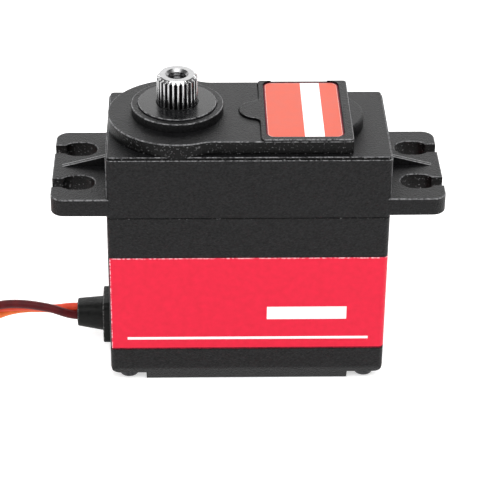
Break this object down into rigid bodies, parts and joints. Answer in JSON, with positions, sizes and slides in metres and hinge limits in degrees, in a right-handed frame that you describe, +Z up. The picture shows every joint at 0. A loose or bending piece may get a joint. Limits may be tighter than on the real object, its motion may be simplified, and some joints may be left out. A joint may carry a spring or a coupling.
{
  "type": "hobby servo motor",
  "caption": "Standard-size hobby servo: charcoal case with slotted ears, splined steel output shaft turned by a geared motor, and a lead with connector.",
  "frame": {"origin": "on the floor, under the middle of the case and its ears", "axes": "+Z up along the output shaft, +X along the case away from the output shaft and the lead, +Y to the back"},
  "size_m": [0.1027, 0.0329, 0.0465],
  "materials": {
    "case_plastic": "fine moulded grain, charcoal",
    "label_red": "printed film, crimson",
    "label_salmon": "printed film, salmon",
    "gloss_black": "satin black",
    "steel": "machined",
    "dark_steel": "blackened",
    "brass": "machined",
    "rubber": "matte black",
    "board_green": "solder mask",
    "chip_black": "moulded",
    "wire_brown": "satin insulation",
    "wire_red": "satin insulation",
    "wire_orange": "satin insulation"
  },
  "bodies": {
    "case": {"top_case": "case_plastic", "middle_case": "case_plastic", "bottom_cover": "case_plastic", "case_label": "label_red", "top_label": "label_salmon", "bearing_cap": "gloss_black", "upper_bearing_outer": "steel", "lower_bearing_outer": "steel", "idler_shaft_a": "steel", "idler_shaft_b": "steel", "motor_can": "steel", "case_screw_1": "dark_steel", "case_screw_2": "dark_steel", "case_screw_3": "dark_steel", "case_screw_4": "dark_steel", "motor_screw_1": "dark_steel", "motor_screw_2": "dark_steel", "capacitor": "dark_steel", "motor_terminal_1": "brass", "motor_terminal_2": "brass", "connector_contact_1": "brass", "connector_contact_2": "brass", "connector_contact_3": "brass", "strain_relief": "rubber", "coil_tie": "rubber", "potentiometer_body": "board_green", "circuit_board": "board_green", "motor_end_cap": "chip_black", "control_chip": "chip_black", "driver_chip_1": "chip_black", "driver_chip_2": "chip_black", "connector_housing": "chip_black", "lead_brown": "wire_brown", "lead_tail_brown": "wire_brown", "lead_coil": "wire_brown", "lead_red": "wire_red", "lead_tail_red": "wire_red", "lead_orange": "wire_orange", "lead_tail_orange": "wire_orange"},
    "output": {"output_shaft": "steel", "potentiometer_shaft": "brass", "upper_bearing_inner": "steel", "lower_bearing_inner": "steel"},
    "idler_3": {"idler_gear_3": "brass"},
    "idler_2": {"idler_gear_2": "brass"},
    "idler_1": {"idler_gear_1": "brass"},
    "motor_rotor": {"motor_pinion": "brass", "motor_shaft": "steel"}
  },
  "joints": [
    {"name": "output_turn", "type": "hinge", "parent": "case", "child": "output", "pos_m": [-0.0101, 0, 0.03], "axis": [0, 0, 1], "range_deg": [-90, 90]},
    {"name": "idler_3_turn", "type": "hinge", "parent": "case", "child": "idler_3", "pos_m": [0.0014, 0, 0.03], "axis": [0, 0, 1], "range_deg": [-210, 210]},
    {"name": "idler_2_turn", "type": "hinge", "parent": "case", "child": "idler_2", "pos_m": [0.00522, 0.00382, 0.03], "axis": [0, 0, 1], "range_deg": [-355, 355]},
    {"name": "idler_1_turn", "type": "hinge", "parent": "case", "child": "idler_1", "pos_m": [0.0014, 0, 0.03], "axis": [0, 0, 1], "range_deg": [-800, 800]},
    {"name": "motor_rotor_turn", "type": "hinge", "parent": "case", "child": "motor_rotor", "pos_m": [0.01025, 0, 0.03], "axis": [0, 0, 1], "range_deg": [-3900, 3900]}
  ],
  "couplings": [
    {"joint": "idler_3_turn", "follows": "output_turn", "ratio": -2.2857},
    {"joint": "idler_2_turn", "follows": "output_turn", "ratio": 3.8857},
    {"joint": "idler_1_turn", "follows": "output_turn", "ratio": -8.8312},
    {"joint": "motor_rotor_turn", "follows": "output_turn", "ratio": 43.273}
  ]
}
